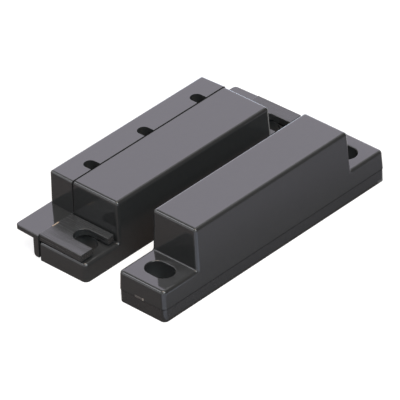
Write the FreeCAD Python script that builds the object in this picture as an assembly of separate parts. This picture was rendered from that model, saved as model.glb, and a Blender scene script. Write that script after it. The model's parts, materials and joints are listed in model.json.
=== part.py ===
import FreeCAD, Part
import math
import os

# Two-part magnetic contact for a door or window, with screw terminals.
# The switch unit holds a sealed changeover reed switch in a moulded block with two slotted
# flanges. A pull-off cover hides its three terminals, and two forks on the cover reach over
# the flanges. The magnet unit has the same block and flanges, and stands on a spacer plate.
# X runs along both units, the magnet unit lies on the -Y side and Z is up. The origin is in
# the mounting plane, in the middle of the set's footprint. Sizes are in millimetres.

V = FreeCAD.Vector
Z_UP = V(0, 0, 1)

# Housings, the same for both units
block_top_length = 43.6
block_height = 13.25
flange_reach = 10.0
flange_height = 4.1
unit_width = 12.3
side_draft = 0.037
corner_radius = 1.1
edge_round = 0.75
foot_round = 0.3
housing_wall = 1.5
roof_wall = 1.5

# Mounting slots, which run across the flanges
slot_offset = 4.4
slot_width = 4.5
slot_length = 6.5
slot_rim_round = 0.2

# The two units side by side
unit_gap = 8.6

# Magnet unit
spacer_thickness = 2.9
spacer_inset = 0.1
spacer_rim_chamfer = 0.15
magnet_end_margin = 2.3
magnet_side_margin = 2.95
magnet_headroom = 3.45
magnet_foot = 3.4
potting_recess = 0.8

# Terminals on the switch block's back wall
terminal_wall = 2.6
terminal_end_margin = 6.6
plate_width = 7.0
plate_foot = 2.9
plate_headroom = 2.35
plate_thickness = 0.8
plate_play = 0.05
collar_diameter = 4.4
tail_width = 1.8
tail_thickness = 0.6
tail_lift = 0.7
tail_share = 0.48
screw_diameter = 3.0
screw_play = 0.05
screw_length = 3.0
screw_head_diameter = 5.6
screw_head_height = 1.8
screw_head_round = 0.6
screw_slot_width = 0.8
screw_slot_depth = 0.7
clamp_thickness = 0.8
clamp_hole_play = 0.1
clamp_head_play = 0.1
clamp_lip_height = 0.7
clamp_lip_thickness = 0.4

# Reed switch
glass_diameter = 2.7
glass_wall = 0.35
glass_seal = 1.6
glass_end_round = 0.65
reed_headroom = 5.65
reed_clearance = 0.85
lead_diameter = 0.6
lead_length = 6.0
lead_spread = 1.1
blade_width = 1.3
blade_thickness = 0.25
contact_gap = 0.2
contact_overlap = 1.6
potting_play = 0.05
link_bend = 0.6
link_run = 1.2
link_side_run = 2.2

# Terminal cover
cover_end_draft = 0.033
cover_top_draft = 0.013
cover_back_draft = 0.03
cover_end_margin = 0.2
cover_depth = 6.45
cover_wall = 1.2
cover_edge_round = 0.6
seam_gap = 0.18
notch_width = 2.65
notch_depth = 2.9
skirt_gap = 0.45
skirt_thickness = 1.3
skirt_lift = 0.45
skirt_toe_round = 0.7
wing_lift = 0.5
wing_thickness = 1.0
wing_overhang = 0.4
wing_corner_radius = 0.9
wing_edge_round = 0.2
fork_lift = 0.4
fork_thickness = 1.45
fork_setback = 1.15
fork_side_gap = 0.2
fork_slot_width = 4.15
fork_slot_reach = 1.6
fork_corner_radius = 0.35
fork_root_inset = 0.3
fork_tip_inset = 0.1
fork_edge_round = 0.12

# How near an edge lies to a face or level for it to be picked
NEAR = 0.01

# Sizes and places worked out from the ones above
unit_length = block_top_length + 2 * flange_reach
slot_pitch = block_top_length + 2 * slot_offset
wing_reach = cover_depth + wing_overhang
set_depth = unit_width + unit_gap + unit_width + wing_reach
magnet_front = -set_depth / 2
magnet_mid = magnet_front + unit_width / 2
switch_front = magnet_front + unit_width + unit_gap
switch_back = switch_front + unit_width
switch_mid = (switch_front + switch_back) / 2
half_length = unit_length / 2
foot_half_length = block_top_length / 2 + side_draft * (block_height - flange_height)
cavity_half_length = block_top_length / 2 - housing_wall
cavity_inset = housing_wall + side_draft * block_height
cavity_top = block_height - roof_wall
cover_seam = switch_back + seam_gap
cover_half_length = block_top_length / 2 + cover_end_margin
wing_level = flange_height + wing_lift
magnet_length = block_top_length - 2 * (housing_wall + magnet_end_margin)
magnet_width = unit_width - 2 * magnet_side_margin
magnet_height = block_height - magnet_headroom - magnet_foot
terminal_pitch = block_top_length / 2 - terminal_end_margin
plate_height = block_height - plate_headroom - plate_foot
terminal_level = plate_foot + plate_height / 2
tail_level = plate_foot + tail_lift
clamp_size = screw_head_diameter + 2 * (clamp_head_play + clamp_lip_thickness)
reed_level = block_height - reed_headroom
reed_axis = switch_front + cavity_inset + reed_clearance + glass_diameter / 2
reed_back = reed_axis + glass_diameter / 2
lead_end = terminal_pitch - link_side_run
glass_length = 2 * (lead_end - lead_length)
tail_reach = tail_share * (switch_back - terminal_wall - reed_back)
TERMINALS = {"common": -terminal_pitch, "open": 0.0, "closed": terminal_pitch}


def prism(points, direction):
    """Solid swept straight from a closed outline of points."""
    outline = Part.makePolygon(points + points[:1])
    return Part.Face(outline).extrude(direction)


def box(x0, x1, y0, y1, z0, z1):
    return Part.makeBox(x1 - x0, y1 - y0, z1 - z0, V(x0, y0, z0))


def cylinder_y(diameter, length, x, y, z):
    """Round bar that starts at y and runs towards +Y."""
    return Part.makeCylinder(diameter / 2, length, V(x, y, z), V(0, 1, 0))


def edges_where(shape, test):
    """Edges whose middle point and direction pass the test."""
    found = []
    for edge in shape.Edges:
        first, last = edge.ParameterRange
        middle = edge.valueAt((first + last) / 2)
        ends = [vertex.Point for vertex in edge.Vertexes]
        if test(middle, ends):
            found.append(edge)
    return found


def level(ends, z):
    """True where both ends of an edge lie at one height."""
    return all(abs(end.z - z) < NEAR for end in ends)


def upright(ends):
    """True where an edge climbs more than it runs sideways."""
    if len(ends) < 2:
        return False
    rise = abs(ends[0].z - ends[-1].z)
    run = math.hypot(ends[0].x - ends[-1].x, ends[0].y - ends[-1].y)
    return rise > run


def slot_bar(x, y, width, length, z0, z1):
    """Bar with round ends that runs across, along Y."""
    reach = (length - width) / 2
    straight = box(x - width / 2, x + width / 2, y - reach, y + reach, z0, z1)
    near = Part.makeCylinder(width / 2, z1 - z0, V(x, y - reach, z0))
    far = Part.makeCylinder(width / 2, z1 - z0, V(x, y + reach, z0))
    return straight.fuse([near, far]).removeSplitter()


def housing_side(z0):
    """Outline along X: two flanges with the block between them."""
    lean = side_draft * flange_height
    top = block_top_length / 2
    half = [(half_length, 0), (half_length - lean, flange_height),
            (foot_half_length, flange_height), (top, block_height)]
    mirrored = [(-x, z) for x, z in reversed(half)]
    return [V(x, 0, z0 + z) for x, z in half + mirrored]


def housing_end(front, back, z0, back_draft):
    """Outline across Y, with a draft on the front and, if wanted, on the back."""
    lean = side_draft * block_height
    back_lean = lean if back_draft else 0
    return [V(0, front, z0), V(0, back, z0), V(0, back - back_lean, z0 + block_height),
            V(0, front + lean, z0 + block_height)]


def housing_body(front, back, z0, back_draft):
    """Block and flanges with rounded corners and edges, still solid inside."""
    long_way = prism(housing_side(z0), V(0, back - front, 0))
    long_way.translate(V(0, front, 0))
    cross_way = prism(housing_end(front, back, z0, back_draft), V(unit_length, 0, 0))
    cross_way.translate(V(-half_length, 0, 0))
    body = long_way.common(cross_way).removeSplitter()

    def at_end(middle, ends):
        sharp = not back_draft and abs(middle.y - back) < NEAR
        return upright(ends) and not sharp and abs(middle.x) > half_length - corner_radius

    body = body.makeFillet(corner_radius, edges_where(body, at_end))

    def at_foot(middle, ends):
        across = abs(ends[0].y - ends[-1].y) > unit_width / 2
        return across and level(ends, z0 + flange_height) and abs(middle.x) < foot_half_length + NEAR

    body = body.makeFillet(foot_round, edges_where(body, at_foot))

    def outer_edge(middle, ends):
        if abs(middle.y - back) < NEAR and not back_draft:
            return False
        if level(ends, z0 + block_height):
            return True
        if level(ends, z0 + flange_height):
            return abs(middle.x) > foot_half_length + foot_round
        low = min(end.z for end in ends)
        on_block = abs(middle.x) < foot_half_length + foot_round + NEAR
        short = abs(ends[0].y - ends[-1].y) < corner_radius
        return on_block and short and low > z0 + flange_height - NEAR

    return body.makeFillet(edge_round, edges_where(body, outer_edge))


def cut_slots(body, mid, z0, z1, rim_z):
    """Cut both mounting slots and round their rims at one level."""
    for side in (-1, 1):
        body = body.cut(slot_bar(side * slot_pitch / 2, mid, slot_width, slot_length, z0, z1))

    def rim(middle, ends):
        near_slot = abs(abs(middle.x) - slot_pitch / 2) < slot_width / 2 + NEAR
        return near_slot and level(ends, rim_z) and abs(middle.y - mid) < slot_length / 2 + NEAR

    return body.makeFillet(slot_rim_round, edges_where(body, rim))


def rounded_box(x0, x1, y0, y1, z0, z1, radius):
    """Box with rounded upright corners."""
    plain = box(x0, x1, y0, y1, z0, z1)
    return plain.makeFillet(radius, edges_where(plain, lambda middle, ends: upright(ends)))


def magnet_cavity():
    """Hollow under the magnet block, open at the bottom."""
    return rounded_box(-cavity_half_length, cavity_half_length, magnet_front + cavity_inset,
                       magnet_front + unit_width - cavity_inset, spacer_thickness,
                       spacer_thickness + cavity_top, foot_round)


def switch_cavity():
    """Hollow under the switch block, in front of its thick terminal wall."""
    return rounded_box(-cavity_half_length, cavity_half_length, switch_front + cavity_inset,
                       switch_back - terminal_wall, 0, cavity_top, foot_round)


def make_magnet_housing():
    back = magnet_front + unit_width
    body = housing_body(magnet_front, back, spacer_thickness, True)
    body = cut_slots(body, magnet_mid, spacer_thickness, spacer_thickness + flange_height,
                     spacer_thickness + flange_height)
    return body.cut(magnet_cavity())


def make_magnet_spacer():
    """Plate under the magnet housing, with the same slots."""
    y0 = magnet_front + spacer_inset
    y1 = magnet_front + unit_width - spacer_inset
    reach = half_length - spacer_inset
    plate = rounded_box(-reach, reach, y0, y1, 0, spacer_thickness, corner_radius - spacer_inset)
    rim = edges_where(plate, lambda middle, ends: level(ends, spacer_thickness))
    plate = plate.makeChamfer(spacer_rim_chamfer, rim)
    for side in (-1, 1):
        plate = plate.cut(slot_bar(side * slot_pitch / 2, magnet_mid, slot_width, slot_length,
                                   0, spacer_thickness))
    return plate


def make_bar_magnet():
    z0 = spacer_thickness + magnet_foot
    return box(-magnet_length / 2, magnet_length / 2, magnet_mid - magnet_width / 2,
               magnet_mid + magnet_width / 2, z0, z0 + magnet_height)


def make_magnet_potting(magnet):
    """Resin in the magnet cavity, around the magnet and a little short of the rim."""
    low = spacer_thickness + potting_recess
    below = box(-half_length, half_length, magnet_front, magnet_front + unit_width, 0, low)
    return magnet_cavity().cut(below).cut(magnet)


def plate_recess(x, play):
    """Room for one terminal plate, its collar and its tail in the terminal wall."""
    half = plate_width / 2 + play
    face = box(x - half, x + half, switch_back - plate_thickness, switch_back,
               terminal_level - plate_height / 2 - play, terminal_level + plate_height / 2 + play)
    collar = cylinder_y(collar_diameter + 2 * play, terminal_wall, x, switch_back - terminal_wall,
                        terminal_level)
    half = tail_width / 2 + play
    tail = box(x - half, x + half, switch_back - terminal_wall, switch_back - plate_thickness,
               tail_level - tail_thickness - play, tail_level + play)
    return face.fuse([collar, tail])


def make_switch_housing():
    body = housing_body(switch_front, switch_back, 0, False)
    body = cut_slots(body, switch_mid, 0, flange_height, flange_height)
    body = body.cut(switch_cavity())
    for x in TERMINALS.values():
        body = body.cut(plate_recess(x, plate_play))
    return body


def make_terminal_plate(x):
    """Plate flush in the terminal wall, with a threaded collar and a solder tail."""
    face = box(x - plate_width / 2, x + plate_width / 2, switch_back - plate_thickness,
               switch_back, terminal_level - plate_height / 2, terminal_level + plate_height / 2)
    collar = cylinder_y(collar_diameter, terminal_wall - plate_thickness, x,
                        switch_back - terminal_wall, terminal_level)
    tail = box(x - tail_width / 2, x + tail_width / 2, switch_back - terminal_wall - tail_reach,
               switch_back - plate_thickness, tail_level - tail_thickness, tail_level)
    hole = cylinder_y(screw_diameter + 2 * screw_play, terminal_wall, x,
                      switch_back - terminal_wall, terminal_level)
    return face.fuse([collar, tail]).cut(hole).removeSplitter()


def make_wire_clamp(x):
    """Square washer with two lips that keep it from turning."""
    half = clamp_size / 2
    y1 = switch_back + clamp_thickness
    washer = box(x - half, x + half, switch_back, y1, terminal_level - half, terminal_level + half)
    low = box(x - half, x + half, y1, y1 + clamp_lip_height, terminal_level - half,
              terminal_level - half + clamp_lip_thickness)
    high = box(x - half, x + half, y1, y1 + clamp_lip_height,
               terminal_level + half - clamp_lip_thickness, terminal_level + half)
    hole = cylinder_y(screw_diameter + 2 * clamp_hole_play, clamp_thickness, x, switch_back,
                      terminal_level)
    return washer.fuse([low, high]).cut(hole).removeSplitter()


def make_terminal_screw(x):
    """Pan-head screw with a straight slot."""
    seat = switch_back + clamp_thickness
    top = seat + screw_head_height
    shank = cylinder_y(screw_diameter, screw_length, x, seat - screw_length, terminal_level)
    head = cylinder_y(screw_head_diameter, screw_head_height, x, seat, terminal_level)
    crown = edges_where(head, lambda middle, ends: abs(middle.y - top) < NEAR)
    head = head.makeFillet(screw_head_round, crown)
    slot = box(x - screw_head_diameter, x + screw_head_diameter, top - screw_slot_depth, top,
               terminal_level - screw_slot_width / 2, terminal_level + screw_slot_width / 2)
    return shank.fuse(head).cut(slot).removeSplitter()


def bent_wire(points, diameter, bend):
    """Round wire along straight runs joined by tangent arcs."""
    edges = []
    start = points[0]
    for before, corner, after in zip(points, points[1:], points[2:]):
        back = (before - corner).normalize()
        ahead = (after - corner).normalize()
        half_turn = math.acos(-back.dot(ahead)) / 2
        reach = bend * math.tan(half_turn)
        enter = corner + back * reach
        leave = corner + ahead * reach
        inward = (back + ahead).normalize()
        middle = corner + inward * (bend / math.cos(half_turn) - bend)
        edges.append(Part.LineSegment(start, enter).toShape())
        edges.append(Part.Arc(enter, middle, leave).toShape())
        start = leave
    edges.append(Part.LineSegment(start, points[-1]).toShape())
    path = Part.Wire(edges)
    section = Part.Wire(Part.makeCircle(diameter / 2, points[0], points[1] - points[0]))
    return path.makePipeShell([section], True, False)


def glass_envelope(play):
    """Outer shape of the glass tube, with rounded ends."""
    half = glass_length / 2 + play
    outside = Part.makeCylinder(glass_diameter / 2 + play, 2 * half,
                                V(-half, reed_axis, reed_level), V(1, 0, 0))
    ends = edges_where(outside, lambda middle, ends: abs(abs(middle.x) - half) < NEAR)
    return outside.makeFillet(glass_end_round, ends)


def reed_room(play):
    """Space that the glass tube and its leads take up in the resin."""
    room = glass_envelope(play)
    for side, rise in ((-1, 0), (1, lead_spread / 2), (1, -lead_spread / 2)):
        lead = Part.makeCylinder(lead_diameter / 2 + play, lead_end + play,
                                 V(0, reed_axis, reed_level + rise), V(side, 0, 0))
        room = room.fuse(lead)
    return room


def make_reed_lead(side, rise, reach_in, diameter, width, thickness):
    """Round lead outside the glass, flattened to a blade inside it."""
    y = reed_axis
    z = reed_level + rise
    shoulder = glass_length / 2 - glass_seal
    tip = shoulder - reach_in
    length = lead_end - shoulder
    lead = Part.makeCylinder(diameter / 2, length, V(side * shoulder, y, z), V(side, 0, 0))
    x0, x1 = sorted((side * tip, side * shoulder))
    blade = box(x0, x1, y - width / 2, y + width / 2, z - thickness / 2, z + thickness / 2)
    return lead.fuse(blade).removeSplitter()


def make_reed_parts():
    """Glass tube with the common blade at one end and both contacts at the other."""
    y = reed_axis
    z = reed_level
    shoulder = glass_length / 2 - glass_seal
    common = make_reed_lead(-1, 0, shoulder + contact_overlap / 2, lead_diameter, blade_width,
                            blade_thickness)
    closed_rise = lead_spread / 2
    closed = make_reed_lead(1, closed_rise, shoulder - contact_overlap / 2, lead_diameter,
                            blade_width, blade_thickness)
    opened = make_reed_lead(1, -closed_rise, shoulder - contact_overlap / 2, lead_diameter,
                            blade_width, blade_thickness)
    pad_low = z + blade_thickness / 2
    closed_pad = box(-contact_overlap / 2, contact_overlap / 2, y - blade_width / 2,
                     y + blade_width / 2, pad_low, z + closed_rise + blade_thickness / 2)
    closed = closed.fuse(closed_pad).removeSplitter()
    pad_high = z - blade_thickness / 2 - contact_gap
    open_pad = box(-contact_overlap / 2, contact_overlap / 2, y - blade_width / 2,
                   y + blade_width / 2, z - closed_rise - blade_thickness / 2, pad_high)
    opened = opened.fuse(open_pad).removeSplitter()
    inside = Part.makeCylinder(glass_diameter / 2 - glass_wall, 2 * shoulder,
                               V(-shoulder, y, z), V(1, 0, 0))
    glass = glass_envelope(0).cut(inside).cut(common.fuse([opened, closed]))
    return glass, common, opened, closed


def link_route(kind, x):
    """Points of the tinned wire from a reed lead to its terminal's tail."""
    side = -1 if kind == "common" else 1
    rise = {"common": 0, "open": -lead_spread / 2, "closed": lead_spread / 2}[kind]
    start = side * lead_end
    level_out = reed_level + rise
    tail_end = switch_back - terminal_wall - tail_reach
    rest = tail_level + lead_diameter / 2
    points = [V(start, reed_axis, level_out)]
    if kind == "open":
        turn = start + link_run
        row = (reed_back + tail_end) / 2
        points += [V(turn, reed_axis, level_out), V(turn, row, level_out), V(x, row, level_out)]
    else:
        points.append(V(x, reed_axis, level_out))
    points.append(V(x, tail_end, rest))
    points.append(V(x, switch_back - terminal_wall, rest))
    return points


def make_links(play):
    return {kind: bent_wire(link_route(kind, x), lead_diameter + 2 * play, link_bend)
            for kind, x in TERMINALS.items()}


def screw_room(x):
    """Space that a terminal screw's shank takes up, with its play."""
    seat = switch_back + clamp_thickness
    return cylinder_y(screw_diameter + 2 * screw_play, screw_length, x, seat - screw_length,
                      terminal_level)


def make_switch_potting(plates):
    """Resin in the switch cavity, around the reed, its links and the terminal tails."""
    low = box(-half_length, half_length, switch_front, switch_back, 0, potting_recess)
    fill = switch_cavity().cut(low)
    rooms = [reed_room(potting_play)] + list(make_links(potting_play).values())
    rooms += [screw_room(x) for x in TERMINALS.values()]
    for piece in plates + rooms:
        fill = fill.cut(piece)
    return fill


def cover_outline(half_at_seam, y0, y1, draft):
    """Outline seen from above: it narrows away from the seam."""
    half_back = half_at_seam - draft * (y1 - y0)
    return [V(-half_at_seam, y0, 0), V(half_at_seam, y0, 0), V(half_back, y1, 0),
            V(-half_back, y1, 0)]


def cover_shell():
    """Box over the terminals, open towards the block, with three wire notches in its top."""
    back = switch_back + cover_depth
    lean = cover_back_draft * (block_height - skirt_lift)
    slope = cover_top_draft * (back - cover_seam)

    def tray(inset, y0):
        half = cover_half_length - inset
        y1 = back + lean - inset
        above = prism(cover_outline(half, y0, y1, cover_end_draft), Z_UP * block_height)
        section = [V(0, y0, skirt_lift + inset), V(0, y1, skirt_lift + inset + slope),
                   V(0, y1 - lean, block_height - inset - slope), V(0, y0, block_height - inset)]
        across = prism(section, V(2 * half, 0, 0))
        across.translate(V(-half, 0, 0))
        return above.common(across).removeSplitter()

    shell = tray(0, cover_seam)

    def outer_edge(middle, ends):
        if upright(ends):
            return middle.y > back - cover_wall
        high = min(end.z for end in ends) > block_height - 2 * slope - NEAR
        return high and middle.y > cover_seam + NEAR

    shell = shell.makeFillet(cover_edge_round, edges_where(shell, outer_edge))
    return shell.cut(tray(cover_wall, cover_seam))


def cover_notches():
    """The three round-ended notches, one above each terminal."""
    top = block_height + cover_wall
    low = block_height - 2 * cover_wall
    centre = cover_seam + notch_depth - notch_width / 2
    notches = []
    for x in TERMINALS.values():
        straight = box(x - notch_width / 2, x + notch_width / 2, cover_seam - cover_wall, centre,
                       low, top)
        round_end = Part.makeCylinder(notch_width / 2, top - low, V(x, centre, low))
        notches.append(straight.fuse(round_end))
    return notches


def cover_wing(side):
    """Plate at one end of the cover, level with its outer wall."""
    y0 = switch_back + skirt_gap
    y1 = switch_back + wing_reach
    inner = cover_half_length - cover_wall
    outer = half_length
    narrowed = outer - cover_end_draft * (y1 - y0)
    outline = [V(inner, y0, wing_level), V(outer, y0, wing_level), V(narrowed, y1, wing_level),
               V(inner, y1, wing_level)]
    plate = prism(outline, Z_UP * wing_thickness)

    def tip(middle, ends):
        return upright(ends) and middle.x > narrowed - NEAR and middle.y > y1 - NEAR

    plate = plate.makeFillet(wing_corner_radius, edges_where(plate, tip))

    def rim(middle, ends):
        outside = middle.x > inner + NEAR and middle.y > y0 + NEAR
        return outside and level(ends, wing_level + wing_thickness)

    plate = plate.makeFillet(wing_edge_round, edges_where(plate, rim))
    return plate if side > 0 else plate.mirror(V(0, 0, 0), V(1, 0, 0))


def cover_skirt(side):
    """Upright strip that runs down beside the flange's back face."""
    y0 = switch_back + skirt_gap
    inner = cover_half_length - cover_wall
    strip = box(inner, half_length, y0, y0 + skirt_thickness, skirt_lift,
                wing_level + wing_thickness / 2)

    def toe(middle, ends):
        return level(ends, skirt_lift) and abs(middle.y - y0 - skirt_thickness) < NEAR

    strip = strip.makeFillet(skirt_toe_round, edges_where(strip, toe))
    return strip if side > 0 else strip.mirror(V(0, 0, 0), V(1, 0, 0))


def cover_fork(side):
    """Two-pronged plate over one flange, open towards the block's front."""
    z0 = flange_height + fork_lift
    y0 = switch_front + fork_setback
    y1 = switch_back + skirt_gap
    inner = foot_half_length + fork_side_gap
    outer = half_length - fork_root_inset
    tip = half_length - fork_tip_inset
    outline = [V(inner, y0, z0), V(tip, y0, z0), V(outer, y1, z0), V(inner, y1, z0)]
    plate = prism(outline, Z_UP * fork_thickness)
    slot_end = switch_mid + fork_slot_reach
    x = slot_pitch / 2
    reach = slot_end - fork_slot_width / 2
    slot = box(x - fork_slot_width / 2, x + fork_slot_width / 2, y0 - fork_slot_width,
               reach, z0, z0 + fork_thickness)
    round_end = Part.makeCylinder(fork_slot_width / 2, fork_thickness, V(x, reach, z0))
    plate = plate.cut(slot.fuse(round_end))

    def prong_corner(middle, ends):
        return upright(ends) and abs(middle.y - y0) < NEAR

    plate = plate.makeFillet(fork_corner_radius, edges_where(plate, prong_corner))
    root = box(cover_half_length - cover_wall, outer, y1 - skirt_gap + seam_gap,
               y1 + skirt_thickness, z0, wing_level + wing_thickness - wing_edge_round)
    step = box(cover_half_length - cover_wall, outer, y1 - skirt_gap + seam_gap, y1, z0,
               z0 + fork_thickness)
    fork = plate.fuse([root, step]).removeSplitter()

    def rim(middle, ends):
        return level(ends, z0 + fork_thickness) and middle.x > inner - NEAR

    fork = fork.makeFillet(fork_edge_round, edges_where(fork, rim))
    return fork if side > 0 else fork.mirror(V(0, 0, 0), V(1, 0, 0))


def make_terminal_cover():
    shell = cover_shell()
    for notch in cover_notches():
        shell = shell.cut(notch)
    extras = []
    for side in (-1, 1):
        extras += [cover_wing(side), cover_skirt(side), cover_fork(side)]
    return shell.fuse(extras).removeSplitter()


def save(name, shape):
    """Write one piece, as a single closed solid."""
    solids = shape.Solids
    assert len(solids) == 1, name + " is not one solid"
    solid = solids[0]
    assert solid.isValid(), name + " is not valid"
    solid.exportStep("parts/" + name + ".step")
    print(name, "volume", round(solid.Volume, 2), "faces", len(solid.Faces))


def main():
    os.makedirs("parts", exist_ok=True)
    save("switch_housing", make_switch_housing())
    save("terminal_cover", make_terminal_cover())
    plates = []
    for kind, x in TERMINALS.items():
        plate = make_terminal_plate(x)
        plates.append(plate)
        save("terminal_plate_" + kind, plate)
        save("wire_clamp_" + kind, make_wire_clamp(x))
        save("terminal_screw_" + kind, make_terminal_screw(x))
    glass, common, opened, closed = make_reed_parts()
    save("reed_glass", glass)
    save("reed_common_blade", common)
    save("reed_open_contact", opened)
    save("reed_closed_contact", closed)
    for kind, link in make_links(0).items():
        save("link_" + kind, link)
    save("switch_potting", make_switch_potting(plates))
    save("magnet_housing", make_magnet_housing())
    save("magnet_spacer", make_magnet_spacer())
    magnet = make_bar_magnet()
    save("bar_magnet", magnet)
    save("magnet_potting", make_magnet_potting(magnet))


main()
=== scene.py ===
# %% [markdown]
# A magnetic contact set for a door or window: a switch unit with a pull-off terminal cover, and
# a magnet unit on a spacer plate. The solid model holds every real shape and size, so this
# script loads it as a fixed frame, and gives it finishes, small moulding marks, light and a camera.

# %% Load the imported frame
import json
import math

import bmesh
import bpy
from mathutils import Matrix, Vector, noise


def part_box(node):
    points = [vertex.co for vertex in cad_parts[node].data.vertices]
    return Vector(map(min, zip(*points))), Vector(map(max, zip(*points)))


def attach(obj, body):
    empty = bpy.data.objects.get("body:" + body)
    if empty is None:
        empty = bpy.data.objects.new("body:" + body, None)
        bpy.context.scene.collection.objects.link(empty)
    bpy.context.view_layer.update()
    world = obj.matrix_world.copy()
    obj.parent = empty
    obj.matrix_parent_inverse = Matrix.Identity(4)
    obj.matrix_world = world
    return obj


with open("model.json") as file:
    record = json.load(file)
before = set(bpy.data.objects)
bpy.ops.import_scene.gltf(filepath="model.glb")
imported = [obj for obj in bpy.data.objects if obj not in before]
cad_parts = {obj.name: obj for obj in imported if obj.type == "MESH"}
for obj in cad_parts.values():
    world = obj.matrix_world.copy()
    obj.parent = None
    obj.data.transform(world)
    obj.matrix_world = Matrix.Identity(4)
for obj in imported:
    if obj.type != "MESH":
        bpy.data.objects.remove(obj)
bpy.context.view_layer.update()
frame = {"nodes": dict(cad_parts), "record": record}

nodes = frame["nodes"]
MM = 0.001

# %% [markdown]
# The frame brings plain materials that only stand in for the real finishes. They are removed
# first, because a finish made later under the same name would get a number behind it, and the
# solids would keep the plain one.

# %% Remove the plain materials
for plain in list(bpy.data.materials):
    bpy.data.materials.remove(plain)
print(len(bpy.data.materials), "materials left")

# %% [markdown]
# The camera decides what every later comparison means, so it comes first. The photograph was
# taken with a long lens from the corner where both units show their long side and one end, so
# parallel edges stay almost parallel. The camera looks at the middle of the magnet unit's foot.
# Its direction, distance, focal length and a small roll come from fitting the straight edges.

# %% Camera at the photograph's angle
IMAGE_PIXELS = 400
SENSOR_MM = 36.0
FOCAL_PIXELS = 5753.0
CAMERA_DISTANCE = 1121.7 * MM
CAMERA_AZIMUTH = math.radians(45.321)
CAMERA_ELEVATION = math.radians(34.386)
CAMERA_ROLL = math.radians(-2.937)
TARGET_PIXEL = (253.915, 238.968)
SEEN_FROM, SEEN_TO = 0.05, 20.0


def camera_axes():
    """Right, down and forward directions of the camera in the frame, one per row."""
    flat = math.cos(CAMERA_ELEVATION)
    towards = Vector((-flat * math.sin(CAMERA_AZIMUTH), -flat * math.cos(CAMERA_AZIMUTH),
                      math.sin(CAMERA_ELEVATION)))
    forward = -towards
    right = forward.cross(Vector((0, 0, 1))).normalized()
    down = forward.cross(right)
    upright = Matrix((right, down, forward))
    return Matrix.Rotation(CAMERA_ROLL, 3, "Z") @ upright


def place_camera(target):
    """A camera that shows the target point at its pixel in the photograph."""
    data = bpy.data.cameras.new("photo_camera")
    data.sensor_width = SENSOR_MM
    data.lens = FOCAL_PIXELS * SENSOR_MM / IMAGE_PIXELS
    data.clip_start, data.clip_end = SEEN_FROM, SEEN_TO
    axes = camera_axes()
    middle = IMAGE_PIXELS / 2
    seen = Vector(((TARGET_PIXEL[0] - middle) / FOCAL_PIXELS * CAMERA_DISTANCE,
                   (TARGET_PIXEL[1] - middle) / FOCAL_PIXELS * CAMERA_DISTANCE, CAMERA_DISTANCE))
    place = target - axes.transposed() @ seen
    turn = Matrix((axes[0], -axes[1], -axes[2])).transposed().to_4x4()
    camera = bpy.data.objects.new("photo_camera", data)
    bpy.context.scene.collection.objects.link(camera)
    camera.matrix_world = Matrix.Translation(place) @ turn
    return camera


spacer_low, spacer_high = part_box("magnet_spacer")
magnet_mid = (spacer_low.y + spacer_high.y) / 2
camera = place_camera(Vector((0, magnet_mid, 0)))
bpy.context.scene.camera = camera
print("lens in mm", round(camera.data.lens, 1), "place", [round(x, 3) for x in camera.location])

# %% [markdown]
# Every finish starts in the same way: a material with a Principled shader, a position read from
# Object coordinates in metres, and a Bump node. Object coordinates keep the pattern fixed to the
# plastic, so that it doesn't slide when the cover comes off.

# %% Helpers for materials
def add_node(tree, kind, **settings):
    made = tree.nodes.new(kind)
    for name, value in settings.items():
        setattr(made, name, value)
    return made


def start_material(name, **constants):
    """Material, its tree and shader, and the socket with Object coordinates."""
    material = bpy.data.materials.new(name)
    material.use_nodes = True
    tree = material.node_tree
    shader = tree.nodes["Principled BSDF"]
    for socket, value in constants.items():
        shader.inputs[socket.replace("_", " ")].default_value = value
    position = add_node(tree, "ShaderNodeTexCoord").outputs["Object"]
    return material, tree, shader, position


def add_bump(tree, shader, height, depth):
    """Relief of a given depth in metres, for a height that runs from 0 to 1."""
    bump = add_node(tree, "ShaderNodeBump")
    bump.inputs["Distance"].default_value = depth
    tree.links.new(height, bump.inputs["Height"])
    tree.links.new(bump.outputs["Normal"], shader.inputs["Normal"])


def start_group(name, inputs, outputs):
    """Empty node group with named sockets, given as (name, kind, value)."""
    group = bpy.data.node_groups.new(name, "ShaderNodeTree")
    for label, kind, value in inputs:
        socket = group.interface.new_socket(label, in_out="INPUT", socket_type=kind)
        if value is not None:
            socket.default_value = value
    for label, kind in outputs:
        group.interface.new_socket(label, in_out="OUTPUT", socket_type=kind)
    return group, add_node(group, "NodeGroupInput"), add_node(group, "NodeGroupOutput")


def use_group(tree, group, position, **values):
    made = add_node(tree, "ShaderNodeGroup", node_tree=group)
    tree.links.new(position, made.inputs["Position"])
    for name, value in values.items():
        made.inputs[name.replace("_", " ")].default_value = value
    return made


def add_math(tree, operation, first, second):
    """Math node between sockets or plain numbers."""
    made = add_node(tree, "ShaderNodeMath", operation=operation)
    for socket, value in zip(made.inputs, (first, second)):
        if isinstance(value, (int, float)):
            socket.default_value = value
        else:
            tree.links.new(value, socket)
    return made.outputs[0]


def add_noise(tree, position, scale, detail):
    """Noise from 0 to 1. Its scale is a number or a socket."""
    made = add_node(tree, "ShaderNodeTexNoise")
    made.inputs["Detail"].default_value = detail
    if isinstance(scale, (int, float)):
        made.inputs["Scale"].default_value = scale
    else:
        tree.links.new(scale, made.inputs["Scale"])
    tree.links.new(position, made.inputs["Vector"])
    return made.outputs["Fac"]


def add_blend(tree, factor, first, second):
    """Colour between two colours or sockets, by a factor from 0 to 1."""
    blend = add_node(tree, "ShaderNodeMix", data_type="RGBA")
    tree.links.new(factor, blend.inputs["Factor"])
    for label, value in (("A", first), ("B", second)):
        if isinstance(value, tuple):
            blend.inputs[label].default_value = value
        else:
            tree.links.new(value, blend.inputs[label])
    return blend.outputs["Result"]


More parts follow.
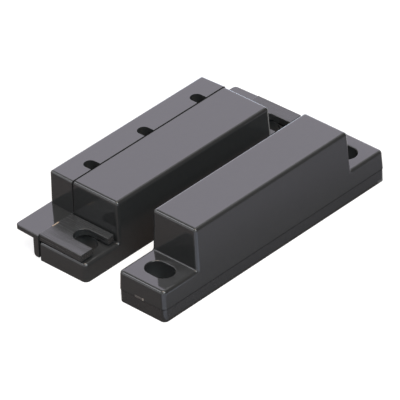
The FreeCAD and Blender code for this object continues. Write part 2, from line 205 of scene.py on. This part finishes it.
def add_ramp(tree, value, start, end, falls=False, smooth=False):
    """Share that goes from 0 to 1 between two values, or from 1 to 0 where it falls."""
    ramp = add_node(tree, "ShaderNodeMapRange",
                    interpolation_type="SMOOTHSTEP" if smooth else "LINEAR")
    tree.links.new(value, ramp.inputs["Value"])
    first, last = (1.0, 0.0) if falls else (0.0, 1.0)
    limits = {"From Min": start, "From Max": end, "To Min": first, "To Max": last}
    for label, limit in limits.items():
        ramp.inputs[label].default_value = limit
    return ramp.outputs[0]


def add_axes(tree, position):
    """The three sockets X, Y and Z of a position."""
    axes = add_node(tree, "ShaderNodeSeparateXYZ")
    tree.links.new(position, axes.inputs[0])
    return [axes.outputs[axis] for axis in "XYZ"]


def finish_shader(tree, shader, surface, depth):
    """Feed the colour, roughness and relief of a group to the shader, with the relief's depth."""
    tree.links.new(surface.outputs["Color"], shader.inputs["Base Color"])
    tree.links.new(surface.outputs["Roughness"], shader.inputs["Roughness"])
    add_bump(tree, shader, surface.outputs["Height"], depth)


print("helpers ready")

# %% [markdown]
# The housings are glossy moulded plastic, a cool near-black. The gloss isn't a perfect mirror:
# the mould leaves a faint mottle about a millimetre across and a finer grain, and both break up
# the reflection on the tops. All the plastics share this skin, so it is one node group, and each
# material sets its own values on it. The group starts with its sockets and these two patterns.

# %% Node group for a moulded skin
skin_group, skin_in, skin_out = start_group(
    "Moulded skin",
    [("Position", "NodeSocketVector", None), ("Color", "NodeSocketColor", (0.01, 0.01, 0.01, 1)),
     ("Worn Color", "NodeSocketColor", (0.02, 0.02, 0.02, 1)),
     ("Wave Height", "NodeSocketFloat", 8.0), ("Mottle Scale", "NodeSocketFloat", 900.0),
     ("Grain Scale", "NodeSocketFloat", 5200.0), ("Roughness", "NodeSocketFloat", 0.1),
     ("Roughness Spread", "NodeSocketFloat", 0.06), ("Joint Level", "NodeSocketFloat", -1.0),
     ("Sink", "NodeSocketFloat", 0.0)],
    [("Color", "NodeSocketColor"), ("Roughness", "NodeSocketFloat"), ("Height", "NodeSocketFloat")])
skin_values = skin_in.outputs
skin_x, skin_y, skin_z = add_axes(skin_group, skin_values["Position"])
mottle = add_noise(skin_group, skin_values["Position"], skin_values["Mottle Scale"], 3.0)
grain = add_noise(skin_group, skin_values["Position"], skin_values["Grain Scale"], 2.0)
shade = add_blend(skin_group, mottle, skin_values["Color"], skin_values["Worn Color"])
print("group", skin_group.name, "with", len(skin_values) - 1, "values")

# %% [markdown]
# Each unit has a mounting slot in either flange, and two effects depend on the distance to it. A
# slot is a short straight line with round ends, so the distance is measured to that line. The
# left and right halves are mirror images, so X counts without its sign.

# %% Distance to the mounting slots
SLOT_X = 26.2 * MM
SLOT_STRAIGHT_HALF = 1.0 * MM


def skin_math(operation, first, second=0):
    """Math node in the moulded skin. Absolute takes the first value alone."""
    return add_math(skin_group, operation, first, second)


def squared(value):
    return skin_math("POWER", value, 2.0)


switch_low, switch_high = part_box("switch_housing")
switch_mid = (switch_low.y + switch_high.y) / 2
aside = skin_math("SUBTRACT", skin_math("ABSOLUTE", skin_x), SLOT_X)
along = skin_math("SUBTRACT", skin_y, magnet_mid)
from_switch = skin_math("SUBTRACT", skin_y, switch_mid)
nearer = skin_math("MINIMUM", skin_math("ABSOLUTE", along), skin_math("ABSOLUTE", from_switch))
past = skin_math("MAXIMUM", skin_math("SUBTRACT", nearer, SLOT_STRAIGHT_HALF), 0.0)
slot_distance = skin_math("POWER", skin_math("ADD", squared(aside), squared(past)), 0.5)
print("slots at X", round(SLOT_X / MM, 1), "mm, units at Y", round(magnet_mid / MM, 2), "and",
      round(switch_mid / MM, 2), "mm")

# %% [markdown]
# Masks by position paint shade along two lines that the photograph shows, in the gaps at the
# joint of the magnet unit and its spacer and at the seam in front of the cover. A third mask
# paints light on the slot walls, strongest low down, because the darkest places in the photograph
# aren't black.

# %% Painted shade in the gaps, painted light in the slots
JOINT_HALF = 0.13 * MM
SEAM_MIDDLE = switch_high.y + 0.09 * MM
SEAM_HALF = 0.20 * MM
SEAM_FOOT = 6.1 * MM
SLOT_WALL_REACH = 2.3 * MM
SLOT_DEEP = 2.0 * MM
SLOT_LIT = 6.5 * MM
# Tone of the painted light on the slot walls.
SLOT_PAINTED_LIGHT = (0.056, 0.062, 0.064, 1)
# Tone of the painted shade in the joint and seam gaps.
PAINTED_GAP_SHADE = (0.003, 0.003, 0.003, 1)


def near(value, middle, half):
    """Mask that is 1 where a value lies closer to the middle than half."""
    away = skin_math("ABSOLUTE", skin_math("SUBTRACT", value, middle))
    return skin_math("LESS_THAN", away, half)


# Painted light: a lighter tone on the slot walls, strongest low down.
in_depth = add_ramp(skin_group, skin_z, SLOT_DEEP, SLOT_LIT, falls=True)
slot_light_mask = skin_math("MULTIPLY", skin_math("LESS_THAN", slot_distance, SLOT_WALL_REACH), in_depth)
walls = add_blend(skin_group, slot_light_mask, shade, SLOT_PAINTED_LIGHT)
# Painted shade: a dark tone along the joint and the seam, where shade falls in the gaps.
joint_shade_mask = skin_math("MULTIPLY", near(skin_z, skin_values["Joint Level"], JOINT_HALF),
                     skin_math("LESS_THAN", skin_y, 0.0))
seam_shade_mask = skin_math("MULTIPLY", near(skin_y, SEAM_MIDDLE, SEAM_HALF),
                    skin_math("GREATER_THAN", skin_z, SEAM_FOOT))
gap_shade_mask = skin_math("MAXIMUM", joint_shade_mask, seam_shade_mask)
skin_group.links.new(add_blend(skin_group, gap_shade_mask, walls, PAINTED_GAP_SHADE), skin_out.inputs["Color"])
swing = skin_math("MULTIPLY", skin_math("SUBTRACT", mottle, 0.5), skin_values["Roughness Spread"])
rough = skin_math("ADD", skin_values["Roughness"], swing)
skin_group.links.new(skin_math("ADD", rough, gap_shade_mask), skin_out.inputs["Roughness"])
print("seam line at Y", round(SEAM_MIDDLE / MM, 2), "mm")

# %% [markdown]
# Last comes the relief. Besides mottle and grain it has long waves, which bend a mirrored edge
# a little, and soft hollows around the slots, where thick plastic sinks as it cools.

# %% Relief of the skin
SINK_HALF = 4.6 * MM
SINK_STRETCH = 1.2
SINK_FULL, SINK_GONE = 0.4, 1.1
WAVE_SCALE = 160.0
HOLLOW_SCALE = 330.0
GRAIN_SHARE = 0.2

around = skin_math("ADD", squared(skin_math("DIVIDE", aside, SINK_HALF)),
                   squared(skin_math("DIVIDE", along, SINK_HALF * SINK_STRETCH)))
near_slot = add_ramp(skin_group, around, SINK_FULL, SINK_GONE, falls=True, smooth=True)
waves = add_noise(skin_group, skin_values["Position"], WAVE_SCALE, 1.0)
hollow = add_noise(skin_group, skin_values["Position"], HOLLOW_SCALE, 0.0)
relief = skin_math("ADD", mottle, skin_math("MULTIPLY", grain, GRAIN_SHARE))
relief = skin_math("ADD", relief, skin_math("MULTIPLY", waves, skin_values["Wave Height"]))
sinking = skin_math("MULTIPLY", near_slot, skin_values["Sink"])
relief = skin_math("ADD", relief, skin_math("MULTIPLY", hollow, sinking))
skin_group.links.new(relief, skin_out.inputs["Height"])
print("group", skin_group.name, "with", len(skin_group.nodes), "nodes")


def skin_material(name, color, worn, depth, **values):
    """Plastic that uses the moulded skin, with its relief depth in metres."""
    material, tree, shader, position = start_material(name, IOR=1.5)
    skin = use_group(tree, skin_group, position, Color=(*color, 1), Worn_Color=(*worn, 1), **values)
    finish_shader(tree, shader, skin, depth)
    return material


# %% [markdown]
# The two housings and the spacer come from the same plastic, and the spacer is a little duller.
# Its colour is darker too, as painted shade on this low plate.
# The resin that fills both blocks from below was poured, so its relief is broad and soft, and it
# hardly shines.

# %% Plastics and resin
housing_plastic = skin_material("housing_plastic", (0.0270, 0.0284, 0.0290),
                                (0.0302, 0.0316, 0.0322), 1.6e-6, Roughness=0.06,
                                Roughness_Spread=0.04, Joint_Level=spacer_high.z, Sink=22.0)
# The spacer's darker colour is painted shade on the low plate.
spacer_plastic = skin_material("spacer_plastic", (0.0225, 0.0237, 0.0244),
                               (0.0253, 0.0265, 0.0272), 1.6e-6, Roughness=0.12,
                               Roughness_Spread=0.06)
potting_resin = skin_material("potting_resin", (0.012, 0.012, 0.013), (0.024, 0.024, 0.025), 4.0e-5,
                              Wave_Height=1.0, Mottle_Scale=260.0, Grain_Scale=1500.0,
                              Roughness=0.42, Roughness_Spread=0.20)
print("plastics:", housing_plastic.name, spacer_plastic.name, potting_resin.name)

# %% [markdown]
# The cover is a softer plastic. Its two forks flow thin and cool last, so in the photograph they
# are duller than the rest, with fine flow lines along the prongs, and they dip a little towards
# the tips. A mask picks out the forks by position. There it adds roughness, lines and the dip.

# %% Plastic of the cover
FORK_BACK = 13.6 * MM
FORK_TOP = 6.3 * MM
FORK_DIP = 0.045
FLOW_SCALE = 2600.0
FLOW_STRETCH = (1, 0.07, 1)
FLOW_DULLNESS = 0.36
FLOW_HEIGHT = 1.6
COVER_RELIEF = 2.0e-6

cover_plastic, tree, shader, position = start_material("cover_plastic", IOR=1.5)
skin = use_group(tree, skin_group, position, Color=(0.0270, 0.0286, 0.0292, 1),
                 Worn_Color=(0.0306, 0.0322, 0.0330, 1), Roughness=0.07, Roughness_Spread=0.05)
_, cover_y, cover_z = add_axes(tree, position)
on_fork = add_math(tree, "MULTIPLY", add_math(tree, "LESS_THAN", cover_y, FORK_BACK),
                   add_math(tree, "LESS_THAN", cover_z, FORK_TOP))
drawn_out = add_node(tree, "ShaderNodeVectorMath", operation="MULTIPLY")
drawn_out.inputs[1].default_value = FLOW_STRETCH
tree.links.new(position, drawn_out.inputs[0])
flow = add_noise(tree, drawn_out.outputs["Vector"], FLOW_SCALE, 3.0)
dull = add_math(tree, "MULTIPLY", add_math(tree, "MULTIPLY", flow, FLOW_DULLNESS), on_fork)
tree.links.new(add_math(tree, "ADD", skin.outputs["Roughness"], dull), shader.inputs["Roughness"])
tree.links.new(skin.outputs["Color"], shader.inputs["Base Color"])
dip = add_math(tree, "MULTIPLY", add_math(tree, "SUBTRACT", FORK_BACK, cover_y),
               -FORK_DIP / COVER_RELIEF)
fork_height = add_math(tree, "ADD", dip, add_math(tree, "MULTIPLY", flow, FLOW_HEIGHT))
cover_height = add_math(tree, "ADD", skin.outputs["Height"],
                        add_math(tree, "MULTIPLY", fork_height, on_fork))
add_bump(tree, shader, cover_height, COVER_RELIEF)
print("plastic of the cover:", cover_plastic.name)

# %% [markdown]
# The metal parts sit under the cover or inside the blocks. Pressed, rolled and plated metal all
# show fine lines along one direction and small patches that are duller than the rest. One group
# gives both, with the direction set by how much the pattern is stretched along each axis.

# %% Node group for worked metal
LINE_SCALE = 6000.0
PATCH_SCALE = 700.0

metal_group, metal_in, metal_out = start_group(
    "Worked metal",
    [("Position", "NodeSocketVector", None), ("Stretch", "NodeSocketVector", (1, 1, 1)),
     ("Color", "NodeSocketColor", (0.6, 0.6, 0.6, 1)),
     ("Dull Color", "NodeSocketColor", (0.4, 0.4, 0.4, 1)),
     ("Roughness", "NodeSocketFloat", 0.3), ("Roughness Spread", "NodeSocketFloat", 0.2)],
    [("Color", "NodeSocketColor"), ("Roughness", "NodeSocketFloat"), ("Height", "NodeSocketFloat")])
stretched = add_node(metal_group, "ShaderNodeVectorMath", operation="MULTIPLY")
metal_group.links.new(metal_in.outputs["Position"], stretched.inputs[0])
metal_group.links.new(metal_in.outputs["Stretch"], stretched.inputs[1])
lines = add_noise(metal_group, stretched.outputs["Vector"], LINE_SCALE, 2.0)
patches = add_noise(metal_group, metal_in.outputs["Position"], PATCH_SCALE, 4.0)
metal_group.links.new(add_blend(metal_group, patches, metal_in.outputs["Color"],
                                metal_in.outputs["Dull Color"]), metal_out.inputs["Color"])
dulling = add_math(metal_group, "MULTIPLY", add_math(metal_group, "SUBTRACT", patches, 0.5),
                   metal_in.outputs["Roughness Spread"])
metal_group.links.new(add_math(metal_group, "ADD", metal_in.outputs["Roughness"], dulling),
                      metal_out.inputs["Roughness"])
metal_group.links.new(lines, metal_out.inputs["Height"])
print("group", metal_group.name, "with", len(metal_group.nodes), "nodes")


def metal_material(name, color, dull, depth, **values):
    """Metal that uses the worked-metal group, with its relief depth in metres."""
    material, tree, shader, position = start_material(name, Metallic=1.0)
    worked = use_group(tree, metal_group, position, Color=(*color, 1), Dull_Color=(*dull, 1),
                       **values)
    finish_shader(tree, shader, worked, depth)
    return material


# %% [markdown]
# The plates are brass, and the clamps and screws are steel. The reed is springy nickel-iron, its
# leads run on to tinned wires, and the bar magnet is a dark cast alloy with a rough skin.

# %% Metals
terminal_brass = metal_material("terminal_brass", (0.72, 0.55, 0.27), (0.52, 0.38, 0.18), 1.5e-6,
                                Stretch=(0.08, 1, 1), Roughness=0.30)
clamp_steel = metal_material("clamp_steel", (0.60, 0.60, 0.62), (0.45, 0.45, 0.46), 1.5e-6,
                             Stretch=(1, 1, 0.08), Roughness=0.34)
screw_steel = metal_material("screw_steel", (0.66, 0.65, 0.63), (0.52, 0.51, 0.49), 8.0e-7,
                             Roughness=0.20, Roughness_Spread=0.12)
reed_metal = metal_material("reed_metal", (0.60, 0.58, 0.54), (0.48, 0.46, 0.43), 8.0e-7,
                            Stretch=(0.08, 1, 1), Roughness=0.26)
tinned_wire = metal_material("tinned_wire", (0.64, 0.64, 0.65), (0.50, 0.50, 0.51), 1.0e-6,
                             Roughness=0.36)
magnet_alloy = metal_material("magnet_alloy", (0.20, 0.20, 0.21), (0.12, 0.12, 0.12), 4.0e-6,
                              Roughness=0.55)
print("metals:", [m.name for m in (terminal_brass, clamp_steel, screw_steel, reed_metal,
                                   tinned_wire, magnet_alloy)])

# %% [markdown]
# The reed's glass tube is sealed in the resin. It is clear with a light green tint, which such
# glass needs so that the heat of a lamp can melt it shut. Drawn glass has faint lines along it.

# %% Glass of the reed tube
reed_glass, tree, shader, position = start_material("reed_glass", IOR=1.5, Transmission_Weight=1.0)
drawn = use_group(tree, metal_group, position, Color=(0.82, 0.94, 0.87, 1),
                  Dull_Color=(0.76, 0.90, 0.81, 1), Stretch=(0.05, 1, 1), Roughness=0.05,
                  Roughness_Spread=0.04)
finish_shader(tree, shader, drawn, 5.0e-7)
print("glass:", reed_glass.name)

# %% [markdown]
# Each node of the frame names its finish in the record, so the record decides which material
# it gets. The meshes stay as they are: only their material slots change.

# %% Dress the solid model
finishes = {m.name: m for m in bpy.data.materials}
for part in frame["record"]["subparts"]:
    mesh = nodes[part["node"]].data
    mesh.materials.clear()
    mesh.materials.append(finishes[part["material_slot"]])

# %% [markdown]
# Three small things on the surface are too fine for the solid model: the collars below the
# cover's notches, a torn gate mark with a painted glint, and a pale painted glint on the cover.
# Each is a piece of its own that rides the body it belongs to, so it goes along when the cover
# comes off.

# %% Helper for small pieces
def finish_piece(name, shape, material, body):
    """Mesh object from a bmesh, with one material, tied to a body of the frame."""
    bmesh.ops.recalc_face_normals(shape, faces=shape.faces)
    mesh = bpy.data.meshes.new(name)
    shape.to_mesh(mesh)
    shape.free()
    mesh.materials.append(material)
    piece = bpy.data.objects.new(name, mesh)
    bpy.context.scene.collection.objects.link(piece)
    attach(piece, body)
    print(name, "with", len(mesh.polygons), "faces")


# %% [markdown]
# The three notches of the cover have a collar that hangs below them, so that one looks at a wall
# and not into the box. A collar could be cut from a block. Here its cross-section is swept
# forward, turned round the notch and swept back, because every wall then has the same thickness.

# %% Collars of the notches
NOTCH_HALF = 1.325 * MM
NOTCH_DEPTH = 2.9 * MM
COLLAR_TOP = 12.1 * MM
COLLAR_LOW = 10.6 * MM
COLLAR_WALL = 0.5 * MM
COLLAR_STEPS = 16
NOTCH_FRONT = switch_high.y + 0.18 * MM


def whole(face):
    """A face with its edges and corners. With them, an extrusion leaves no wall behind inside."""
    return [face, *face.edges, *face.verts]


def sweep_on(shape, face, step):
    """Extrude one face by a straight step, and give back the face at its new end."""
    made = bmesh.ops.extrude_face_region(shape, geom=whole(face))["geom"]
    corners = [v for v in made if isinstance(v, bmesh.types.BMVert)]
    bmesh.ops.translate(shape, vec=step, verts=corners)
    return next(f for f in made if isinstance(f, bmesh.types.BMFace))


def notch_collar(x):
    """U-shaped wall below one notch: its cross-section swept forth, round and back."""
    shape = bmesh.new()
    inner, outer = x + NOTCH_HALF, x + NOTCH_HALF + COLLAR_WALL
    straight = NOTCH_DEPTH - NOTCH_HALF
    section = [(inner, COLLAR_LOW), (outer, COLLAR_LOW), (outer, COLLAR_TOP), (inner, COLLAR_TOP)]
    face = shape.faces.new([shape.verts.new((a, NOTCH_FRONT, z)) for a, z in section])
    face = sweep_on(shape, face, (0, straight, 0))
    turned = bmesh.ops.spin(shape, geom=whole(face), cent=(x, NOTCH_FRONT + straight, 0),
                            axis=(0, 0, 1), steps=COLLAR_STEPS, angle=math.pi)["geom_last"]
    face = next(f for f in turned if isinstance(f, bmesh.types.BMFace))
    sweep_on(shape, face, (0, -straight, 0))
    return shape


for name in ("common", "open", "closed"):
    screw_low, screw_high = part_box("terminal_screw_" + name)
    finish_piece("notch_collar_" + name, notch_collar((screw_low.x + screw_high.x) / 2),
                 cover_plastic, "cover")

# %% [markdown]
# The magnet housing shows a torn gate mark above its joint with the spacer, where the moulding
# was broken off its runner, and a small painted glint beside it. The cover has a pale painted glint
# where a wing meets its fork. A bump alone would leave them flat at the edge, so each is a fine
# grid whose rim stays on the plastic and whose inner points rise by chance.

# %% Gate mark and painted glints
LEAST_RISE = 0.35
MARK_SEED = 7


def rough_patch(corner, along, up, counts, relief):
    """Grid on a flat face with its rim on the face and its inner points raised unevenly."""
    shape = bmesh.new()
    bmesh.ops.create_grid(shape, x_segments=counts[0], y_segments=counts[1], size=0.5)
    for point in sorted(shape.verts, key=lambda v: (round(v.co.x, 3), v.co.y)):
        if not point.is_boundary:
            point.co.z = relief * (LEAST_RISE + (1 - LEAST_RISE) * noise.random())
    turn = Matrix((along, up, along.cross(up).normalized())).transposed().to_4x4()
    place = Matrix.Translation(corner + (along + up) / 2)
    bmesh.ops.transform(shape, matrix=place @ turn, verts=shape.verts)
    return shape


def mark_material(name, color, dark):
    """Torn plastic, and the painted glints: two colours in small patches, and no gloss."""
    return skin_material(name, dark, color, 1.0e-5, Wave_Height=1.0, Mottle_Scale=2400.0,
                         Grain_Scale=9000.0, Roughness=0.55, Roughness_Spread=0.2)


noise.seed_set(MARK_SEED)
gate_scar = mark_material("gate_scar", (0.115, 0.105, 0.100), (0.045, 0.042, 0.040))
# Painted glint: a bright patch beside the torn gate mark.
gate_chip = mark_material("gate_chip", (0.34, 0.31, 0.28), (0.22, 0.20, 0.18))
# Painted glint: a pale patch on the step where a wing meets its fork.
pale_scuff = mark_material("pale_scuff", (0.46, 0.36, 0.26), (0.30, 0.23, 0.16))
end_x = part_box("magnet_housing")[0].x - 0.005 * MM
gate_corner = Vector((end_x, magnet_mid + 1.68 * MM, spacer_high.z))
gate_side = Vector((0, -2.0 * MM, 0.0))
glint_side = Vector((0, -0.35 * MM, 0))
gate_up = Vector((0.018 * MM, 0, 0.5 * MM))
finish_piece("gate_scar", rough_patch(gate_corner, gate_side, gate_up, (9, 3), 0.05 * MM),
             gate_scar, "contact_set")
finish_piece("gate_chip", rough_patch(gate_corner + gate_side, glint_side, gate_up, (3, 3),
                                      0.05 * MM), gate_chip, "contact_set")
glint_corner = Vector((-27.9 * MM, 13.28 * MM, 5.955 * MM))
glint_patch = rough_patch(glint_corner, Vector((1.8 * MM, 0, 0)), Vector((0, 0.24 * MM, 0)), (8, 3),
                    0.02 * MM)
finish_piece("pale_scuff", glint_patch, pale_scuff, "cover")

# %% [markdown]
# The studio is a floor, a world, five lamps and some cards. Its materials choose by the kind of
# ray: what the camera or a mirror image shows may differ from what lights the set. So these
# helpers tell the rays apart and mix plain shaders.

# %% Helpers for the studio
def add_direct(tree):
    """Socket that is 1 for camera rays and for rays from a mirror or through glass."""
    path = add_node(tree, "ShaderNodeLightPath")
    direct = add_math(tree, "MAXIMUM", path.outputs["Is Camera Ray"],
                      path.outputs["Is Glossy Ray"])
    return add_math(tree, "MAXIMUM", direct, path.outputs["Is Transmission Ray"])


def add_choice(tree, factor, otherwise, chosen):
    """Mix shader that takes one of two shaders by a factor of 0 or 1."""
    choice = add_node(tree, "ShaderNodeMixShader")
    tree.links.new(factor, choice.inputs["Fac"])
    tree.links.new(otherwise, choice.inputs[1])
    tree.links.new(chosen, choice.inputs[2])
    return choice.outputs[0]


def add_diffuse(tree, color):
    shaded = add_node(tree, "ShaderNodeBsdfDiffuse")
    shaded.inputs["Color"].default_value = (*color, 1)
    return shaded.outputs[0]


def start_stage_material(name):
    """Material for the studio, its empty tree and its output socket."""
    material = bpy.data.materials.new(name)
    material.use_nodes = True
    tree = material.node_tree
    tree.nodes.clear()
    return material, tree, add_node(tree, "ShaderNodeOutputMaterial").inputs["Surface"]


def add_tone(tree, color, glow, glow_color=None):
    """Shader that reflects a colour evenly and adds a share of brightness of its own."""
    own = add_node(tree, "ShaderNodeEmission")
    own.inputs["Color"].default_value = (*(glow_color or color), 1)
    own.inputs["Strength"].default_value = glow
    both = add_node(tree, "ShaderNodeAddShader")
    tree.links.new(own.outputs[0], both.inputs[0])
    tree.links.new(add_diffuse(tree, color), both.inputs[1])
    return both.outputs[0]


print("studio helpers ready")

# %% [markdown]
# The set lies on a plain pale floor. To the camera the floor is almost pure white, as in the
# photograph, so most of its brightness there is its own and a small share still takes light.
# That share keeps a soft shadow under the object. Other rays meet an ordinary pale surface.

# %% Floor
WHITE = (1, 1, 1)
SEEN_GREY = (0.3, 0.3, 0.3)
SEEN_GLOW = 0.82
LIT_GREY = (0.55, 0.55, 0.55)
FLOOR_HALF = 3.0
FLOOR_LEVEL = -0.02 * MM

floor_material, tree, surface = start_stage_material("floor_pale")
tree.links.new(add_choice(tree, add_direct(tree), add_diffuse(tree, LIT_GREY),
                          add_tone(tree, SEEN_GREY, SEEN_GLOW, WHITE)), surface)

floor_mesh = bpy.data.meshes.new("floor")
shape = bmesh.new()
bmesh.ops.create_grid(shape, x_segments=1, y_segments=1, size=FLOOR_HALF)
bmesh.ops.translate(shape, vec=(0, 0, FLOOR_LEVEL), verts=shape.verts)
shape.to_mesh(floor_mesh)
shape.free()
floor_mesh.materials.append(floor_material)
floor = bpy.data.objects.new("floor", floor_mesh)
bpy.context.scene.collection.objects.link(floor)
print("floor", round(floor.dimensions.x, 1), "m wide")

# %% [markdown]
# The world lights the set evenly from all sides, at a low level. Where it is seen directly or in
# a mirror image it is white, as the photograph's background is.

# %% World
AMBIENT = 0.38

world = bpy.data.worlds.new("studio")
bpy.context.scene.world = world
world.use_nodes = True
tree = world.node_tree
tree.nodes.clear()
ambient = add_node(tree, "ShaderNodeBackground")
ambient.inputs["Strength"].default_value = AMBIENT
backdrop = add_node(tree, "ShaderNodeBackground")
backdrop.inputs["Color"].default_value = (*WHITE, 1)
backdrop.inputs["Strength"].default_value = 1.0
sky = add_node(tree, "ShaderNodeOutputWorld")
tree.links.new(add_choice(tree, add_direct(tree), ambient.outputs[0], backdrop.outputs[0]),
               sky.inputs["Surface"])
bpy.context.scene.view_settings.view_transform = "Standard"
print("world", world.name, "at", AMBIENT)

# %% [markdown]
# Dark glossy plastic shows its shape almost only by what it reflects. The tops mirror the space
# behind the set, and the far top edges mirror it just above the horizon, so a tall softbox stands
# there. Two more at the left, a strong one above a weak one, draw the lines along the end edges.
# The gap between them is what the ends and the flange tops see of each other, so these stay dark.
# A warm one high above and a cool one over the camera fill the slots, the notches and the space
# between the units.

# %% Lamps
LAMP_DISTANCE = 0.9
COOL = (0.93, 0.93, 1.0)
# Name, azimuth and elevation in degrees, width and height in metres, brightness and colour.
SOFTBOXES = [
    ("back_softbox", 44.7, 23.0, 0.85, 0.66, 1.46, (0.86, 0.79, 1.0)),
    ("left_upper_softbox", 134.0, 44.5, 0.40, 0.27, 4.3, COOL),
    ("left_lower_softbox", 138.0, 19.0, 0.36, 0.26, 0.9, COOL),
    ("top_softbox", 225.0, 80.0, 0.50, 0.50, 5.2, (1.0, 0.81, 0.67)),
    ("front_softbox", 252.0, 47.0, 0.50, 0.40, 7.2, (0.88, 0.96, 1.0)),
]


def softbox(name, azimuth, elevation, width, height, radiance, color):
    """Area lamp that faces the set. Azimuth 0 is +X and 90 is +Y, in degrees."""
    data = bpy.data.lights.new(name, "AREA")
    data.shape = "RECTANGLE"
    data.size = width
    data.size_y = height
    data.energy = radiance * math.pi * width * height
    data.color = color
    turn, rise = math.radians(azimuth), math.radians(elevation)
    away = Vector((math.cos(rise) * math.cos(turn), math.cos(rise) * math.sin(turn),
                   math.sin(rise)))
    lamp = bpy.data.objects.new(name, data)
    bpy.context.scene.collection.objects.link(lamp)
    lamp.location = away * LAMP_DISTANCE
    lamp.rotation_mode = "QUATERNION"
    lamp.rotation_quaternion = away.to_track_quat("Z", "Y")
    print(name, round(data.energy, 2), "W")


for row in SOFTBOXES:
    softbox(*row)

# %% [markdown]
# The photograph's mirror images are darker than a white room would give: the long front top edges
# mirror an unlit side, and the side faces mirror a table in half light. Photographers get this
# with cards around the set. These cards are seen only in mirror images, so the floor stays white
# to the camera, and they are painted reflection: the dark ones paint shade, the bright ones paint
# highlights. Each has one or two tones, and where there are two, one fades into the other.

# %% Helpers for cards
BEND_STEPS = 24


def add_card(name, shape, tones, fade=(0, 1), axis="X"):
    """Stage piece that only mirror rays see. A second tone takes over between two places."""
    material, tree, surface = start_stage_material(name)
    first, *others = tones
    shown = add_tone(tree, *first)
    for tone in others:
        position = add_node(tree, "ShaderNodeTexCoord").outputs["Object"]
        place = add_axes(tree, position)["XYZ".index(axis)]
        share = add_ramp(tree, place, *fade, smooth=True)
        shown = add_choice(tree, share, shown, add_tone(tree, *tone))
    tree.links.new(shown, surface)
    mesh = bpy.data.meshes.new(name)
    shape.to_mesh(mesh)
    shape.free()
    mesh.materials.append(material)
    card = bpy.data.objects.new(name, mesh)
    bpy.context.scene.collection.objects.link(card)
    card.visible_camera = card.visible_diffuse = card.visible_shadow = False
    card.visible_transmission = False
    print(name, "with", len(mesh.polygons), "faces")


def upright_card(start, end, distance, bottom, top):
    """Sheet bent around the set from one azimuth to another, in degrees."""
    shape = bmesh.new()
    turn = math.radians(start)
    foot = Vector((math.cos(turn), math.sin(turn), 0)) * distance
    ends = [shape.verts.new(foot + Vector((0, 0, z))) for z in (bottom, top)]
    edge = shape.edges.new(ends)
    bmesh.ops.spin(shape, geom=[*ends, edge], axis=(0, 0, 1), cent=(0, 0, 0), steps=BEND_STEPS,
                   angle=math.radians(end - start))
    return shape


def lying_sheet(width, corner, height):
    """Square sheet with its far right corner at a point."""
    shape = bmesh.new()
    bmesh.ops.create_grid(shape, x_segments=1, y_segments=1, size=width / 2)
    bmesh.ops.translate(shape, vec=(corner.x - width / 2, corner.y - width / 2, height),
                        verts=shape.verts)
    return shape


print("card helpers ready")

# %% [markdown]
# A dark brown card stands around the right front quarter, a grey one hangs high at the back and
# a small one closes the gap between the left softboxes. All three paint shade into the mirror
# images.

# %% Cards that stand and hang
BLACK_BROWN = ((0.075, 0.045, 0.038), 0.1)
GAP_GREY = ((0.16, 0.15, 0.15), 0.3)
HIGH_GREY = ((0.16, 0.15, 0.15), 0.6)

add_card("dark_card", upright_card(-100, -15, 0.8, 0.02, 1.5), [BLACK_BROWN])
add_card("gap_card", upright_card(131.5, 142.5, 0.7, 0.38, 0.55), [GAP_GREY])
add_card("high_card", lying_sheet(0.34, Vector((0.22, 0.75, 0)), 0.9), [HIGH_GREY])

# %% [markdown]
# Brown and grey sheets lie on the table, each just above the last. The brown ones paint the table's
# shade in the mirror images, and the grey one is darker near the set, with painted shadow of the
# set. Two pale blue ones lie at the feet of the magnet unit's near upright corners and draw the
# light bands there as painted highlights. A bright blue one lies far behind the set and paints a
# blue highlight on the far rims.

# %% Sheets on the table
# Painted shade and painted shadow of the table, seen only in mirror images.
PAINTED_TABLE_SHADE = ((0.25, 0.222, 0.220), 0.03)
TABLE_GREY = ((0.43, 0.43, 0.495), 0.07)
PAINTED_SET_SHADOW = ((0.31, 0.31, 0.35), 0.05)
# Painted highlights: glowing blue sheets for the corner bands and the far rims.
BAND_HIGHLIGHT_BLUE = ((0.72, 0.80, 1.0), 0.55)
CORNER_HIGHLIGHT_BLUE = ((0.70, 0.75, 0.90), 0.38)
RIM_HIGHLIGHT_BLUE = ((0.68, 0.81, 1.0), 1.6)
NEAR_FOOT = Vector((spacer_low.x, spacer_low.y, 0))

add_card("brown_sheet", lying_sheet(2.0, Vector((-20 * MM, 1.0, 0)), 0.05 * MM), [PAINTED_TABLE_SHADE])
add_card("gap_sheet", lying_sheet(2.0, Vector((30 * MM, 12 * MM, 0)), 0.065 * MM), [PAINTED_TABLE_SHADE])
add_card("rim_sheet", lying_sheet(0.30, Vector((0.34, 0.33, 0)), 0.05 * MM), [RIM_HIGHLIGHT_BLUE])
add_card("grey_sheet", lying_sheet(2.0, Vector((1.0, NEAR_FOOT.y - 0.5 * MM, 0)), 0.08 * MM),
         [TABLE_GREY, PAINTED_SET_SHADOW], (-39 * MM, -21 * MM), "Y")
add_card("blue_sheet", lying_sheet(1.0, NEAR_FOOT + Vector((19, -10, 0)) * MM, 0.10 * MM),
         [BAND_HIGHLIGHT_BLUE, TABLE_GREY], (-19 * MM, -10 * MM))
add_card("corner_sheet", lying_sheet(1.0, NEAR_FOOT + Vector((1.5, -0.5, 0)) * MM, 0.12 * MM),
         [CORNER_HIGHLIGHT_BLUE, TABLE_GREY], (-33.5 * MM, -28.5 * MM))
